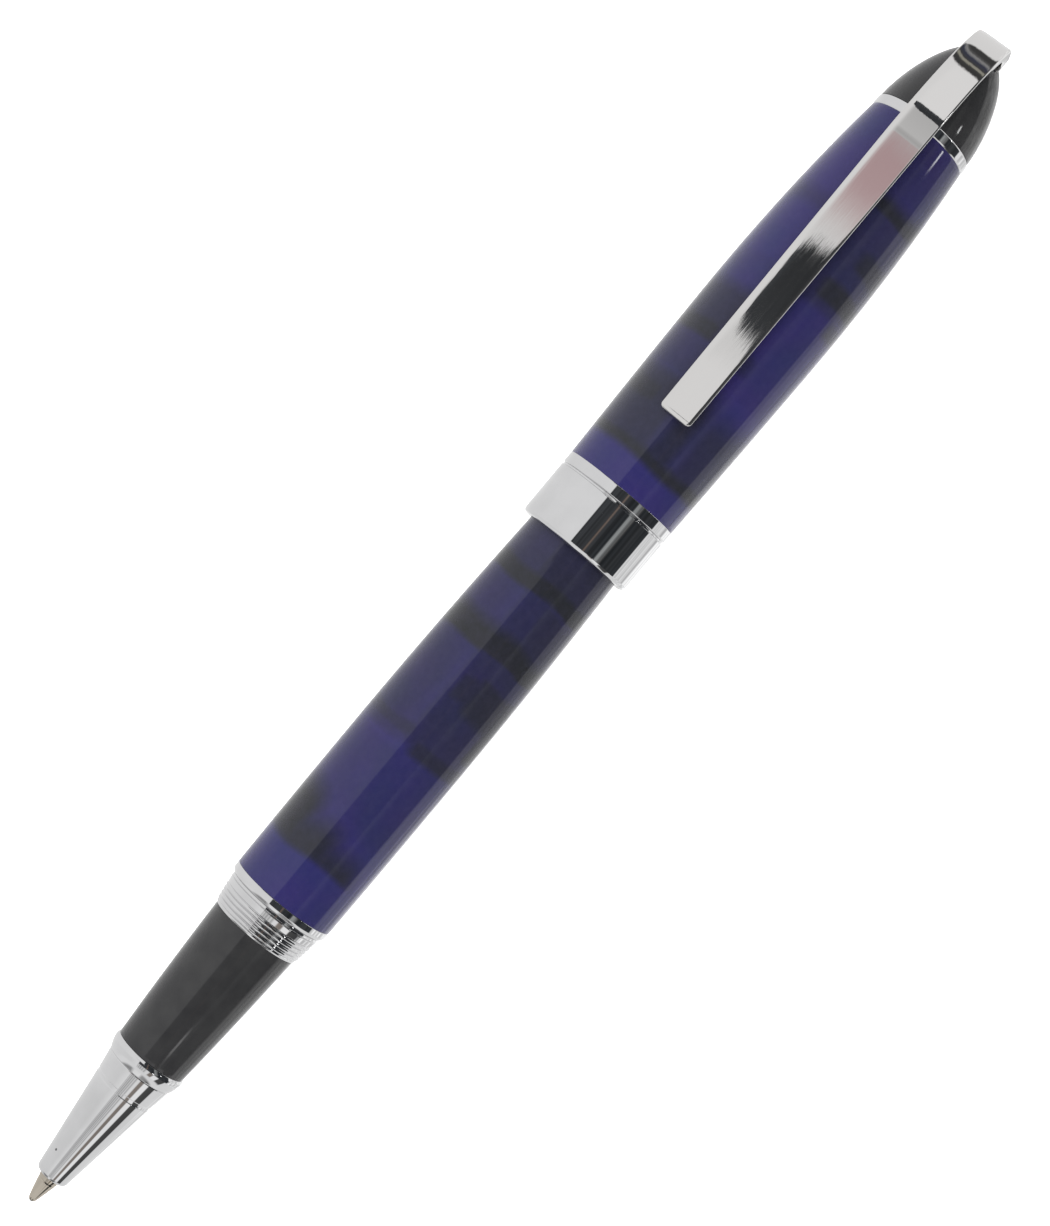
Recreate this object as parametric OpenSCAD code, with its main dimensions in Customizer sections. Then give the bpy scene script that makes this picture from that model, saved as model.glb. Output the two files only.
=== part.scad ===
// Rollerball pen with its cap posted on the tail, in millimetres.
// It lies along X with the writing ball at -X and the clip on top. Stations are measured along
// the pen's axis from the front of the ball, and seated() moves them into the part's frame.

/* [Refill] */
// Length of the refill, from the ball to the end of its rear plug
refill_len = 110; // [92:1:132]
// Outer radius of the refill's metal tube
refill_r = 3.05; // [2.6:0.05:3.7]
// Wall of the refill's metal tube
refill_wall = 0.25; // [0.2:0.05:0.35]
// Radius of the writing ball
ball_r = 0.35; // [0.25:0.05:0.45]
// Length of the cone of the writing point
cone_len = 3.1; // [2.5:0.1:3.3]
// Radius of the stem behind the cone
stem_r = 1.15; // [1:0.05:1.4]
// Length of the stem that shows between the cone and the refill's plastic nose
stem_len = 5.2; // [4.5:0.1:6.3]
// Length of the shank that is pressed into the plastic nose
shank_len = 3.7; // [3:0.1:4.5]
// Step in radius from the stem to the plastic nose
nose_step = 0.6; // [0.4:0.05:0.7]
// Length of the thin front of the plastic nose
nose_thin_len = 7.7; // [6.5:0.1:8.2]
// Length of the thick rear of the plastic nose
nose_thick_len = 5.6; // [5.2:0.1:6.8]
// Radius of the fibre wick that feeds the ball
wick_r = 0.45; // [0.3:0.05:0.55]
// Radius of the channel between the wick and the ball
channel_r = 0.2; // [0.15:0.05:0.25]
// Length of the rear plug's head
rear_head = 2; // [1.5:0.1:3]

/* [Nose cone] */
// How far the writing point stands out of the nose cone
point_show = 3.4; // [3:0.1:4]
// Length of the long cone, up to the fine groove
cone_long = 11.5; // [10.5:0.1:12.5]
// Length of the short cone behind the groove
cone_short = 2.2; // [1.8:0.1:2.6]
// Length of the rounded bead at the rear of the nose cone
bead_len = 1.9; // [1.6:0.1:2.3]
// Width of the fine groove
groove_w = 0.5; // [0.3:0.05:0.6]
// Wall of the nose cone at its open front
nose_wall = 0.6; // [0.4:0.05:0.8]
// Gain in radius along the long cone
nose_flare = 1.55; // [1.4:0.05:1.8]
// How far the bead stands above the grip
bead_rise = 0.17; // [0.1:0.01:0.3]

/* [Grip section] */
// Visible length of the grip
grip_len = 16.6; // [14:0.1:20]
// Wall of the grip round the refill at its front
grip_wall = 0.85; // [0.8:0.05:1.1]
// Wall of the grip round the thread at its rear, past the thread's radius
grip_flare = 0.5; // [0.4:0.05:0.8]
// How far the middle of the grip swells above a straight cone
grip_swell = 0.07; // [0:0.01:0.2]
// Length of the spigot that the grip has inside the nose cone
spigot_len = 3.3; // [2.6:0.1:3.8]

/* [Threaded joint] */
// Wall of the connector, from its bore to the thread's crest
connector_wall = 1.25; // [1.1:0.05:1.5]
// Length of the connector inside the grip
connector_root = 6; // [5:0.5:8]
// Length of the thread
thread_len = 5.7; // [4.8:0.1:7]
// Wall of the brass bush that holds the thread
bush_wall = 0.5; // [0.4:0.05:0.7]
// Length of the bush
bush_len = 7.3; // [7.2:0.1:9]
// Length of the ribbed ring
ring_len = 3.5; // [3:0.1:4.5]
// Number of fine ribs on the ring
rib_count = 4; // [3:1:5]
// Spacing of the ribs
rib_pitch = 0.5; // [0.4:0.05:0.6]
// Height of a rib
rib_h = 0.16; // [0.1:0.01:0.25]
// Length of the smooth collar on the front of the barrel
collar_len = 1.1; // [0.8:0.1:1.6]

/* [Barrel] */
// Wall of the barrel round the bush
barrel_wall = 0.91; // [0.7:0.01:1.3]
// How far the belly of the barrel stands above its front edge
belly_rise = 0.1; // [0:0.01:0.4]
// Distance from the front of the barrel to its belly
belly_at = 19.9; // [15:0.1:25]
// Wall of the barrel at its tail
tail_wall = 0.62; // [0.5:0.01:1]
// Length that the spring takes up between the refill and the tail plug
spring_room = 5.5; // [4.5:0.1:7]
// Length of the tail plug's spigot
plug_spigot = 1.8; // [1.2:0.1:3]
// Length of the tail plug's rounded head
plug_head = 1; // [0.6:0.1:2]

/* [Spring] */
// Radius of the spring wire
wire_r = 0.22; // [0.15:0.01:0.26]
// Turns of the spring
spring_turns = 5; // [4:1:6]

/* [Cap] */
// Length of barrel that the posted cap covers
post_depth = 31.35; // [28:0.05:36]
// Radial gap between the barrel and the cap's lip
lip_gap = 0.2; // [0.15:0.01:0.4]
// Wall of the chrome band at the lip
band_wall = 0.88; // [0.7:0.01:1.2]
// Length of the chrome band, trim ring included
band_len = 7.75; // [7:0.05:9]
// Length of the narrow trim ring
trim_len = 1.3; // [1:0.05:1.8]
// Length of the band's sleeve inside the cap tube
sleeve_len = 4.8; // [3.5:0.1:6]
// Wall of that sleeve
sleeve_wall = 0.25; // [0.2:0.01:0.35]
// How far the cap's belly stands above the band
cap_rise = 0.38; // [0.1:0.01:0.6]
// Distance from the band to the cap's belly
cap_belly_at = 23.7; // [18:0.1:28]
// How far the top of the cap tube is below the band in radius
cap_fall = 0.82; // [0.5:0.01:1]
// Distance from the lip to the place where the liner grips the barrel
grip_at = 17; // [15:0.1:19]
// Room ahead of the ball when the cap closes the front of the pen
tip_room = 4.05; // [3:0.05:5]
// Wall of the cap tube above the liner's step
cap_top_wall = 0.81; // [0.6:0.01:1]

/* [Cap top] */
// Length of the chrome ring under the finial
top_ring_len = 1.2; // [0.8:0.1:2]
// Length of the black finial
finial_len = 11.4; // [10:0.1:13.5]
// Radius of the stud that holds the finial
stud_r = 1.75; // [1.4:0.05:2]
// Depth of the stud inside the finial
stud_depth = 4.8; // [4:0.1:5.5]
// Length of the lock nut
nut_len = 2.4; // [2:0.1:3]
// Length of the brass bush at the top of the cap tube
top_bush_len = 6.5; // [5:0.1:8]

/* [Clip] */
// Thickness of the clip's arm
clip_t = 0.95; // [0.7:0.05:1.1]
// Width of the clip at its free end
clip_w_free = 3.8; // [3:0.05:4.2]
// Width of the clip where it starts to bend over the top
clip_w_ridge = 4.1; // [3.6:0.05:4.6]
// Width of the clip's head
clip_w_head = 3.95; // [3.4:0.05:4.2]
// Length of the arm, from its free end to the ridge
arm_len = 36.3; // [32:0.1:40]
// Gap between the free end of the arm and the cap
clip_gap = 0.35; // [0.3:0.01:0.6]
// Rise of the arm from its free end to the ridge
arm_rise = 0.9; // [0.5:0.05:1.4]
// Distance from the ridge to the end of the head
hump_len = 15.1; // [14:0.1:17]
// Height of the head's shoulder above the axis
head_shoulder = 0.6; // [0.3:0.1:1]
// Depth of the head below the axis
head_drop = 1.7; // [1.4:0.1:2]
// Thickness of the head along the axis
head_t = 1.5; // [1.2:0.05:1.8]
// Length of the tang that hooks into the finial
tang_len = 2.9; // [2.4:0.1:3.2]
// Thickness of the tang
tang_t = 1.1; // [0.9:0.05:1.3]

/* [Hidden] */
$fn = 96;
// Degrees the seam of every turned part is off the bottom, so that a coarse copy lies on a flat.
seam_turn = 2.25;

// clearances between pieces
socket_gap = 0.02;
stem_gap = 0.1;
bore_gap = 0.2;
neck_gap = 0.2;
thread_gap = 0.05;
face_gap = 0.02;
post_gap = 0.03;
slot_gap = 0.2;
slot_lead = 1.3;

// stations along the refill
lip_x = 0.65 * ball_r;
lip_r = ball_r + 0.06;
wick_x = 1.6;
stem_end = cone_len + stem_len;
shank_end = stem_end + shank_len;
thin_end = stem_end + nose_thin_len;
tube_x = thin_end + nose_thick_len;
fill_x = tube_x + 3.9;
fill_end = refill_len - rear_head - 4;
wick_end = fill_x + 4.5;

// radii of the refill
shank_r = stem_r - 0.2;
thin_r = stem_r + nose_step;
neck_r = refill_r - 0.6;
tube_bore = refill_r - refill_wall;

// stations along the section
nose_x = point_show;
groove_x = nose_x + cone_long;
short_x = groove_x + groove_w;
bead_x = short_x + cone_short;
grip_x = bead_x + bead_len;
ring_x = grip_x + grip_len;
collar_x = ring_x + ring_len;
barrel_x = collar_x + collar_len;
spigot_x = grip_x - spigot_len;
shoulder_x = tube_x - 0.1;
root_x = ring_x - connector_root;
thread_end = collar_x + thread_len;
bush_end = barrel_x + bush_len;

// radii of the section and of the joint, from the refill outwards
bore_r = refill_r + bore_gap;
neck_bore = neck_r + neck_gap;
spigot_r = neck_bore + 0.5;
thread_r = bore_r + connector_wall;
root_r = thread_r - 0.55;
ring_bore = thread_r - 0.1;
bush_bore = thread_r + thread_gap;
bush_r = bush_bore + bush_wall;
barrel_front_r = bush_r + barrel_wall;
grip_front_r = bore_r + grip_wall;
grip_rear_r = thread_r + grip_flare;
ring_rear_r = barrel_front_r - 0.36;
bead_r = grip_front_r + bead_rise;
tip_bore = stem_r + stem_gap;
nose_front_r = tip_bore + nose_wall;
groove_r = nose_front_r + nose_flare;
bead_front_r = bead_r - 0.37;
thin_bore = thin_r + bore_gap;

// the barrel
tail_plug_x = refill_len + spring_room;
tube_end = tail_plug_x + plug_spigot;
tail_x = tube_end + plug_head;
belly_x = barrel_x + belly_at;
belly_r = barrel_front_r + belly_rise;
tail_r = bore_r + tail_wall;
collar_spigot = 1.8;
collar_spigot_r = bush_r + 0.25;
wide_bore = bush_r - 0.85;
wide_bore_end = tail_x - 22;

function barrel_r(x) =
    x < belly_x
    ? belly_r - belly_rise * pow((belly_x - x) / belly_at, 2)
    : belly_r - (belly_r - tail_r) * pow((x - belly_x) / (tube_end - belly_x), 1.9);

// the cap
lip_at = tail_x - post_depth;
band_bore = barrel_r(lip_at) + lip_gap;
band_r = band_bore + band_wall;
cap_bore = band_bore + sleeve_wall;
trim_x = lip_at + band_len - trim_len;
cap_x = lip_at + band_len;
band_groove_w = 0.45;
band_groove_r = band_r - 0.18;
liner_x = cap_x + sleeve_len;
grip_station = lip_at + grip_at;
liner_r = barrel_r(grip_station) + post_gap;
liner_step = tail_x + 1;
seal_r = refill_r + 0.55;
liner_floor = lip_at + collar_x + tip_room;
liner_end = liner_floor + 1.4;
nut_x = liner_end + 1;
top_bush_x = nut_x + nut_len;
top_x = top_bush_x + top_bush_len;
cap_belly_x = cap_x + cap_belly_at;
cap_belly_r = band_r + cap_rise;
cap_top_r = band_r - cap_fall;
bore_step = liner_step + 4.5;
top_bore = cap_top_r - cap_top_wall;
slot_w = 0.8;

function cap_r(x) =
    x < cap_belly_x
    ? cap_belly_r - cap_rise * pow((cap_belly_x - x) / cap_belly_at, 1.4)
    : cap_belly_r - (cap_belly_r - cap_top_r) * pow((x - cap_belly_x) / (top_x - cap_belly_x), 2.1);

// the top of the cap
finial_x = top_x + top_ring_len;
finial_end = finial_x + finial_len;
finial_r = cap_top_r - 0.09;
stud_x = nut_x - 0.5;

function finial_r_at(t) = finial_r * sqrt(max(0, 1 - pow(t, 1.6)));

// the clip
head_x = finial_end + 0.3;
ridge_x = head_x - hump_len;
free_x = ridge_x - arm_len;
free_under = cap_r(free_x) + clip_gap;
free_top = free_under + clip_t;
ridge_top = free_top + arm_rise;
tang_top = -head_drop + tang_t;
tang_x = head_x - head_t - tang_len;
end_round = 0.55;

// the whole pen
total = head_x;
axis_z = cap_belly_r;

module seated() {
    translate([-total / 2, 0, axis_z]) children();
}

// a body turned about the pen's axis, from points given as [radius, station]
module turned(profile) {
    rotate([0, 90, 0]) rotate([0, 0, seam_turn]) rotate_extrude() polygon(profile);
}

// stations from a to b in n equal steps
function steps(a, b, n) = [for (i = [0 : n]) a + (b - a) * i / n];

module tip_ball() {
    color("Silver") seated() translate([ball_r, 0, 0]) sphere(ball_r);
}

module refill_point() {
    cone = [
        for (x = steps(lip_x, cone_len, 6))
            [lip_r + (stem_r - lip_r) * pow((x - lip_x) / (cone_len - lip_x), 0.9), x]
    ];
    color("Tan") seated() difference() {
        turned(concat(
            [[0, lip_x]], cone,
            [[stem_r, stem_end], [shank_r, stem_end], [shank_r, shank_end], [0, shank_end]]
        ));
        translate([ball_r, 0, 0]) sphere(ball_r + socket_gap);
        turned([[0, ball_r], [channel_r, ball_r], [channel_r, wick_x], [0, wick_x]]);
        turned([[0, wick_x], [wick_r, wick_x], [wick_r, shank_end + 1], [0, shank_end + 1]]);
    }
}

module feed_wick() {
    color("WhiteSmoke") seated()
        turned([[0, wick_x], [wick_r, wick_x], [wick_r, wick_end], [0, wick_end]]);
}

module refill_nose() {
    color("DimGray") seated() turned([
        [shank_r, stem_end], [thin_r - 0.2, stem_end], [thin_r, stem_end + 0.3],
        [thin_r, thin_end], [neck_r, thin_end + 0.5], [neck_r, tube_x], [tube_bore, tube_x],
        [tube_bore, fill_x], [wick_r, fill_x], [wick_r, shank_end], [shank_r, shank_end]
    ]);
}

module refill_tube() {
    tube_rear = refill_len - rear_head;
    color("Gainsboro") seated() turned([
        [tube_bore, tube_x], [refill_r - 0.1, tube_x], [refill_r, tube_x + 0.1],
        [refill_r, tube_rear], [tube_bore, tube_rear]
    ]);
}

module ink_reservoir() {
    color("MidnightBlue") seated() turned([
        [wick_r, fill_x], [tube_bore, fill_x], [tube_bore, fill_end], [0, fill_end],
        [0, wick_end], [wick_r, wick_end]
    ]);
}

module refill_rear_plug() {
    vent_r = 0.4;
    head_front = refill_len - rear_head;
    color("Navy") seated() turned([
        [vent_r, fill_end], [tube_bore, fill_end], [tube_bore, head_front],
        [refill_r, head_front], [refill_r, refill_len - 0.3], [refill_r - 0.3, refill_len],
        [vent_r, refill_len]
    ]);
}

module nose_cone() {
    edge = 0.15;
    color("Silver") seated() turned(concat(
        [[tip_bore, nose_x], [nose_front_r - 2 * edge, nose_x]],
        [[nose_front_r - 0.5 * edge, nose_x + 0.5 * edge], [nose_front_r + 0.5 * edge, nose_x + 3 * edge]],
        [[groove_r, groove_x], [groove_r - 0.1, groove_x + 0.1], [groove_r - 0.1, short_x - 0.1]],
        [[groove_r + 0.05, short_x], [bead_front_r - 0.08, bead_x], [bead_front_r, bead_x + 0.05]],
        [
            for (t = [0.25, 0.5, 0.75, 1])
                [bead_front_r + (bead_r - bead_front_r) * sin(90 * t), bead_x + 0.05 + (bead_len - 0.7) * t]
        ],
        [[bead_r, grip_x - 0.35], [bead_r - 0.08, grip_x - 0.1], [bead_r - 0.2, grip_x]],
        [[spigot_r, grip_x], [spigot_r, spigot_x], [neck_bore, spigot_x], [neck_bore, thin_end - 0.5]],
        [[thin_bore, thin_end - 0.5], [thin_bore, stem_end - 0.3], [tip_bore, stem_end - 0.3]]
    ));
}

module grip_section() {
    outer = [
        for (x = steps(0, 1, 8))
            [grip_front_r + (grip_rear_r - grip_front_r) * x + 4 * grip_swell * x * (1 - x),
                grip_x + grip_len * x]
    ];
    color("Black") seated() turned(concat(
        [[neck_bore, spigot_x], [spigot_r, spigot_x], [spigot_r, grip_x]],
        outer,
        [[root_r, ring_x], [root_r, root_x], [bore_r, root_x], [bore_r, shoulder_x]],
        [[neck_bore, shoulder_x]]
    ));
}

module threaded_connector() {
    lead = 0.5;
    color("Goldenrod") seated() turned([
        [bore_r, root_x], [root_r, root_x], [root_r, ring_x], [ring_bore, ring_x],
        [ring_bore, collar_x], [thread_r, collar_x], [thread_r, thread_end - lead],
        [thread_r - lead, thread_end], [bore_r, thread_end]
    ]);
}

module ribbed_ring() {
    slope = (ring_rear_r - grip_rear_r) / ring_len;
    rib_start = 0.35;
    ribs = [
        for (i = [0 : rib_count - 1])
            for (t = [0, 45, 90, 135, 180])
                let (d = rib_start + rib_pitch * (i + 0.5 - 0.45 * cos(t)))
                    [grip_rear_r + slope * d + rib_h * sin(t), ring_x + d]
    ];
    band_at = ring_x + rib_start + rib_pitch * rib_count + 0.1;
    band_start_r = grip_rear_r + slope * (band_at - ring_x) + rib_h;
    color("Silver") seated() turned(concat(
        [[ring_bore, ring_x], [grip_rear_r + 0.05, ring_x], [grip_rear_r + 0.12, ring_x + 0.2]],
        ribs,
        [[band_start_r, band_at], [ring_rear_r, collar_x - 0.25]],
        [[ring_rear_r - 0.12, collar_x - face_gap], [ring_bore, collar_x - face_gap]]
    ));
}

module barrel_collar() {
    edge = 0.35;
    color("Silver") seated() turned([
        [bush_bore + 0.05, collar_x], [barrel_front_r - edge, collar_x],
        [barrel_front_r - 0.3 * edge, collar_x + 0.3 * edge], [barrel_front_r, collar_x + edge],
        [barrel_front_r, barrel_x], [collar_spigot_r, barrel_x],
        [collar_spigot_r, barrel_x + collar_spigot], [bush_r, barrel_x + collar_spigot],
        [bush_r, barrel_x], [bush_bore + 0.05, barrel_x]
    ]);
}

module barrel_bush() {
    color("Goldenrod") seated() turned([
        [bush_bore, barrel_x], [bush_r, barrel_x], [bush_r, bush_end], [wide_bore, bush_end],
        [wide_bore, bush_end - 1], [bush_bore, bush_end - 1]
    ]);
}

module barrel_tube() {
    front = [for (x = steps(barrel_x, belly_x, 5)) [barrel_r(x), x]];
    rear = [for (x = steps(belly_x, tube_end, 18)) if (x > belly_x) [barrel_r(x), x]];
    color("MidnightBlue") seated() turned(concat(
        [[collar_spigot_r, barrel_x]], front, rear,
        [[bore_r, tube_end], [bore_r, wide_bore_end + 1], [wide_bore, wide_bore_end]],
        [[wide_bore, bush_end], [bush_r, bush_end], [bush_r, barrel_x + collar_spigot]],
        [[collar_spigot_r, barrel_x + collar_spigot]]
    ));
}

// one ring of points round the spring wire, a share f of the way along its turns
function wire_ring(f, sides, coil_r) =
    let (
        turn = 360 * spring_turns * f,
        x = refill_len + wire_r + (spring_room - 2 * wire_r) * f
    )
    [
        for (k = [0 : sides - 1])
            let (a = 360 * k / sides, r = coil_r + wire_r * cos(a))
                [x + wire_r * sin(a), r * cos(turn), r * sin(turn)]
    ];

module refill_spring() {
    sides = 8;
    rings = 14 * spring_turns;
    coil_r = refill_r - 0.75;
    points = [for (i = [0 : rings]) each wire_ring(i / rings, sides, coil_r)];
    walls = [
        for (i = [0 : rings - 1])
            for (k = [0 : sides - 1])
                let (a = i * sides + k, b = i * sides + (k + 1) % sides)
                    [a, b, b + sides, a + sides]
    ];
    first = [for (k = [sides - 1 : -1 : 0]) k];
    last = [for (k = [0 : sides - 1]) rings * sides + k];
    color("LightSteelBlue") seated() polyhedron(points, concat([first], walls, [last]));
}

module tail_plug() {
    color("Black") seated() turned(concat(
        [[0, tail_plug_x], [bore_r, tail_plug_x], [bore_r, tube_end], [tail_r, tube_end]],
        [for (t = [20, 45, 70]) [tail_r - plug_head * (1 - cos(t)), tube_end + plug_head * sin(t)]],
        [[tail_r - plug_head, tail_x], [0, tail_x]]
    ));
}

module cap_band() {
    edge = 0.4;
    color("Silver") seated() turned(concat(
        [[band_bore, lip_at], [band_r - edge, lip_at]],
        [for (t = [30, 60, 90]) [band_r - edge * (1 - sin(t)), lip_at + edge * (1 - cos(t))]],
        [[band_r, trim_x - band_groove_w - 0.06], [band_r - 0.06, trim_x - band_groove_w]],
        [[band_groove_r, trim_x - band_groove_w], [band_groove_r, trim_x], [cap_bore, trim_x]],
        [[cap_bore, liner_x], [band_bore, liner_x]]
    ));
}

module cap_trim_ring() {
    edge = 0.08;
    color("Silver") seated() turned([
        [cap_bore, trim_x], [band_r - edge, trim_x], [band_r, trim_x + edge],
        [band_r, cap_x], [cap_bore, cap_x]
    ]);
}

module cap_tube() {
    front = [for (x = steps(cap_x, cap_belly_x, 8)) [cap_r(x), x]];
    rear = [for (x = steps(cap_belly_x, top_x, 12)) if (x > cap_belly_x) [cap_r(x), x]];
    color("MidnightBlue") seated() turned(concat(
        [[cap_bore, cap_x]], front, rear,
        [[top_bore, top_x], [top_bore, bore_step], [cap_bore, bore_step]]
    ));
}

module cap_liner() {
    mouth_r = cap_bore - 0.4;
    slot_end = grip_station + 7;
    color("DarkSlateGray") seated() difference() {
        turned([
            [mouth_r, liner_x], [cap_bore, liner_x], [cap_bore, bore_step],
            [top_bore, bore_step], [top_bore, liner_end], [0, liner_end], [0, liner_floor],
            [seal_r, liner_floor], [seal_r, liner_step + 1], [liner_r, liner_step],
            [liner_r, grip_station]
        ]);
        for (a = [45 : 90 : 315])
            rotate([a, 0, 0])
                translate([liner_x - 1, -slot_w / 2, 0])
                    cube([slot_end - liner_x + 1, slot_w, 2 * cap_bore]);
    }
}

module lock_nut() {
    across_corners = stud_r + 1.25;
    color("Goldenrod") seated() translate([nut_x, 0, 0]) rotate([0, 90, 0]) difference() {
        cylinder(h = nut_len, r = across_corners, $fn = 6);
        translate([0, 0, -1]) cylinder(h = nut_len + 2, r = stud_r);
    }
}

module top_bush() {
    color("Goldenrod") seated() turned([
        [stud_r, top_bush_x], [top_bore, top_bush_x], [top_bore, top_x], [stud_r, top_x]
    ]);
}

module finial_stud() {
    stud_end = finial_x + stud_depth;
    color("Gray") seated() turned([
        [0, stud_x], [stud_r - 0.3, stud_x], [stud_r, stud_x + 0.3], [stud_r, stud_end - 0.3],
        [stud_r - 0.3, stud_end], [0, stud_end]
    ]);
}

module top_ring() {
    edge = 0.12;
    color("Silver") seated() turned([
        [stud_r, top_x], [cap_top_r - edge, top_x], [cap_top_r + 0.02, top_x + edge],
        [cap_top_r + 0.02, finial_x - edge], [cap_top_r - edge, finial_x], [stud_r, finial_x]
    ]);
}

module finial_dome() {
    outer = [for (a = steps(0, 90, 20)) [finial_r_at(sin(a)), finial_x + finial_len * sin(a)]];
    slot_half = clip_w_head / 2 + slot_gap;
    head_slot_x = head_x - head_t - slot_gap - slot_lead;
    color("Black") seated() difference() {
        turned(concat(
            [[0, finial_x + stud_depth], [stud_r, finial_x + stud_depth], [stud_r, finial_x]],
            outer
        ));
        translate([head_slot_x, -slot_half, -head_drop - 1.5 * slot_gap])
            cube([head_t + slot_lead + 2, 2 * slot_half, finial_r + head_drop]);
        translate([tang_x - slot_gap, -slot_half, -head_drop - 1.5 * slot_gap])
            cube([tang_len + 1, 2 * slot_half, tang_t + 2.5 * slot_gap]);
    }
}

// outline of the clip's hump: an ellipse from the ridge down to the head's shoulder
function hump(reach, top) =
    [for (t = steps(0, 90, 14)) [ridge_x + reach * sin(t), head_shoulder + (top - head_shoulder) * cos(t)]];

// side view of the clip as [station, height]: round the outside, then back along the underside
function clip_side() =
    let (under = hump(hump_len - head_t, ridge_top - clip_t), last = len(under) - 1)
    concat(
        [[free_x, free_under + 0.25], [free_x, free_top - 0.35], [free_x + 0.35, free_top]],
        hump(hump_len, ridge_top),
        [[head_x, -head_drop + 0.4], [head_x - 0.4, -head_drop], [tang_x, -head_drop]],
        [[tang_x, tang_top], [head_x - head_t, tang_top]],
        [for (i = [last : -1 : 0]) under[i]],
        [[free_x + 0.25, free_under]]
    );

// one long edge of the clip seen from above as [station, half width]
function clip_edge() =
    let (half_free = clip_w_free / 2, half_ridge = clip_w_ridge / 2, half_head = clip_w_head / 2)
    concat(
        [for (t = steps(90, 0, 4))
            [free_x + end_round * (1 - sin(t)), half_free - end_round * (1 - cos(t))]],
        [[ridge_x, half_ridge], [head_x - 2.5, half_head], [head_x - 0.4, half_head]],
        [[head_x, half_head - 0.4]]
    );

module clip() {
    edge = clip_edge();
    last = len(edge) - 1;
    plan = concat(edge, [for (i = [last : -1 : 0]) [edge[i][0], -edge[i][1]]]);
    pip_x = free_x + 1.8;
    color("Silver") seated() {
        intersection() {
            rotate([90, 0, 0])
                linear_extrude(height = 2 * clip_w_ridge, center = true) polygon(clip_side());
            translate([0, 0, -2 * head_drop])
                linear_extrude(height = 2 * head_drop + ridge_top + 1) polygon(plan);
        }
        translate([pip_x, 0, free_under - 0.2]) cylinder(h = 0.5, r1 = 0.5, r2 = 1);
    }
}

tip_ball();
refill_point();
feed_wick();
refill_nose();
refill_tube();
ink_reservoir();
refill_rear_plug();
nose_cone();
grip_section();
threaded_connector();
ribbed_ring();
barrel_collar();
barrel_bush();
barrel_tube();
refill_spring();
tail_plug();
cap_band();
cap_trim_ring();
cap_tube();
cap_liner();
lock_nut();
top_bush();
finial_stud();
top_ring();
finial_dome();
clip();
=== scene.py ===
"""Looks of a rollerball pen with its cap posted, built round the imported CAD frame.

The pen lies along X with the writing ball at -X and the clip on top. Profiles are written in millimetres as
(station, radius), where a station is the distance from the front of the ball. A third number in a point is
how far soften() rounds that corner. lathe() turns a profile and puts it in place.
"""
import math

import bpy
from mathutils import Matrix, Vector, noise


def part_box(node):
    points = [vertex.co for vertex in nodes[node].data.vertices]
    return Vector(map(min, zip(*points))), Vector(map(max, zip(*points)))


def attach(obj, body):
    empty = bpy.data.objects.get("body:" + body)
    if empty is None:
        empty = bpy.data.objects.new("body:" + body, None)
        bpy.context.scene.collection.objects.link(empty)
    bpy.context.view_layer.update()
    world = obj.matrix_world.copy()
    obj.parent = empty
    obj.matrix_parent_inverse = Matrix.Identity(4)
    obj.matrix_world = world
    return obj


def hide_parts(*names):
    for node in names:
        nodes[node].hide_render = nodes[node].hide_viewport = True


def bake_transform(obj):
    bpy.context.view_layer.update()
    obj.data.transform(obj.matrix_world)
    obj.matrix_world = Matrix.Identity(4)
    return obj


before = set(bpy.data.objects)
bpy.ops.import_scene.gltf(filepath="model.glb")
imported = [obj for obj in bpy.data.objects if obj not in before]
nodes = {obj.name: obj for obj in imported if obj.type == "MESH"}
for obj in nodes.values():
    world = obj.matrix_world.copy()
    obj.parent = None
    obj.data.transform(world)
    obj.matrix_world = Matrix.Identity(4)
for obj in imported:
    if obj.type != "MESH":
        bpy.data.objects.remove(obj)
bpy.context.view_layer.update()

MM = 0.001
SEGMENTS = 144
SHARP_ANGLE = 32
AXIS_Z = (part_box("barrel_tube")[0].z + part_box("barrel_tube")[1].z) / 2
FRONT_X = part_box("tip_ball")[0].x


# ---------------------------------------------------------------- sizes read from the frame

def span(node):
    """First and last station of a CAD node, in millimetres."""
    low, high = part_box(node)
    return (low.x - FRONT_X) / MM, (high.x - FRONT_X) / MM


def radius(node):
    """Largest radius of a turned CAD node, in millimetres."""
    low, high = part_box(node)
    return (high.y - low.y) / 2 / MM


def place(station, y, z):
    """A point given in millimetres from the front end of the pen's axis, in metres in the part's frame."""
    return Vector((FRONT_X + station * MM, y * MM, AXIS_Z + z * MM))


# Sizes in millimetres that more than one piece is made from.
REFILL_BORE = 3.25
TIP_BORE, THIN_BORE = 1.25, 1.95
SPIGOT_BORE, SPIGOT_R = 2.65, 3.15
CONNECTOR_ROOT, CONNECTOR_ROOT_R = 6, 3.95
RING_BORE, COLLAR_BORE, STUD_BORE = 4.4, 4.6, 1.75
COLLAR_SPIGOT_LEN, COLLAR_SPIGOT_WALL = 1.8, 0.25
BUSH_LEDGE = 0.85
SLEEVE_WALL = 0.25


# ---------------------------------------------------------------- mesh helpers

def steps(a, b, n):
    return [a + (b - a) * i / n for i in range(n + 1)]


# Half angles of the corners that soften() leaves as they are, and the share of a side that a corner may use.
SHARPEST, BLUNTEST, SIDE_SHARE = math.radians(3), math.radians(83), 0.45


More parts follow.
